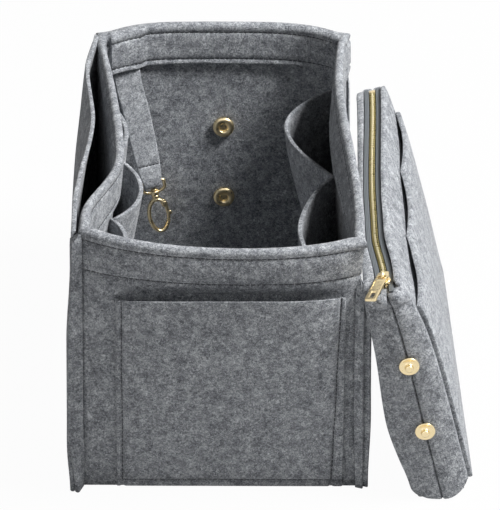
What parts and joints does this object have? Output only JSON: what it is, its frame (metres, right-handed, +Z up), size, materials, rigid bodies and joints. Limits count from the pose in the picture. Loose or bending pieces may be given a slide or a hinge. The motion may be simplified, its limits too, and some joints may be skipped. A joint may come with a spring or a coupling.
{
  "type": "purse organizer insert",
  "caption": "Soft felt handbag organizer box with hemmed rim, slip pockets and a hanging key strap with swivel clasp, and a zip pouch that leans on it and snaps inside.",
  "frame": {"origin": "the middle of the underside of the felt box, on the surface it stands on", "axes": "+Z up; +X towards the side the pouch leans on; +Y towards the end wall with the snap sockets"},
  "size_m": [0.2452, 0.2926, 0.177],
  "materials": {
    "felt": "heathered wool-look felt",
    "zip_tape": "woven tape",
    "pale_gold": "plated, polished",
    "spring_steel": "bright wire"
  },
  "bodies": {
    "organizer": {"base_panel": "felt", "front_end_panel": "felt", "left_side_panel": "felt", "right_side_panel": "felt", "back_end_panel": "felt", "left_outer_pocket_panel": "felt", "front_patch_pocket": "felt", "left_inner_pocket_strip": "felt", "right_inner_pocket_strip": "felt", "upper_snap_socket": "pale_gold", "upper_snap_cap": "pale_gold", "upper_snap_spring": "spring_steel", "lower_snap_socket": "pale_gold", "lower_snap_cap": "pale_gold", "lower_snap_spring": "spring_steel"},
    "strap": {"key_strap": "felt", "clasp_swivel_eye": "pale_gold"},
    "hook": {"clasp_hook": "pale_gold", "clasp_swivel_rivet": "pale_gold", "clasp_gate_pin": "pale_gold", "clasp_gate_spring": "spring_steel"},
    "gate": {"clasp_gate": "pale_gold"},
    "pouch": {"pouch_left_panel": "felt", "pouch_right_panel": "felt", "pouch_base": "felt", "pouch_front_gusset": "felt", "pouch_back_gusset": "felt", "pouch_slip_pocket": "felt", "pouch_upper_snap_stud": "pale_gold", "pouch_upper_snap_back": "pale_gold", "pouch_lower_snap_stud": "pale_gold", "pouch_lower_snap_back": "pale_gold", "zip_left_tape": "zip_tape", "zip_right_tape": "zip_tape", "zip_left_teeth": "pale_gold", "zip_right_teeth": "pale_gold", "zip_left_top_stop": "pale_gold", "zip_right_top_stop": "pale_gold", "zip_bottom_stop": "pale_gold"},
    "slider": {"zip_slider": "pale_gold"},
    "pull": {"zip_pull": "pale_gold"}
  },
  "joints": [
    {"name": "strap_swing", "type": "hinge", "parent": "organizer", "child": "strap", "pos_m": [-0.05991, 0.12818, 0.14745], "axis": [-0.9659, -0.2588, 0], "range_deg": [0, 70]},
    {"name": "hook_swivel", "type": "hinge", "parent": "strap", "child": "hook", "pos_m": [-0.04748, 0.1202, 0.06716], "axis": [0.1623, -0.1349, -0.9775], "continuous": true},
    {"name": "gate_open", "type": "hinge", "parent": "hook", "child": "gate", "pos_m": [-0.04001, 0.11927, 0.05115], "axis": [-0.2549, 0.9513, -0.1737], "range_deg": [0, 25], "stiffness_Nm_per_rad": 0.01, "springref_deg": -17.19},
    {"name": "pouch_lift", "type": "slide", "parent": "organizer", "child": "pouch", "axis": [0, 0, 1], "range_m": [0, 0.19]},
    {"name": "zip_slide", "type": "slide", "parent": "pouch", "child": "slider", "axis": [0, 1, 0], "range_m": [0, 0.2]},
    {"name": "pull_swing", "type": "hinge", "parent": "slider", "child": "pull", "pos_m": [0.09538, -0.126, 0.15286], "axis": [-0.9118, 0.342, -0.2273], "range_deg": [0, 180]}
  ]
}
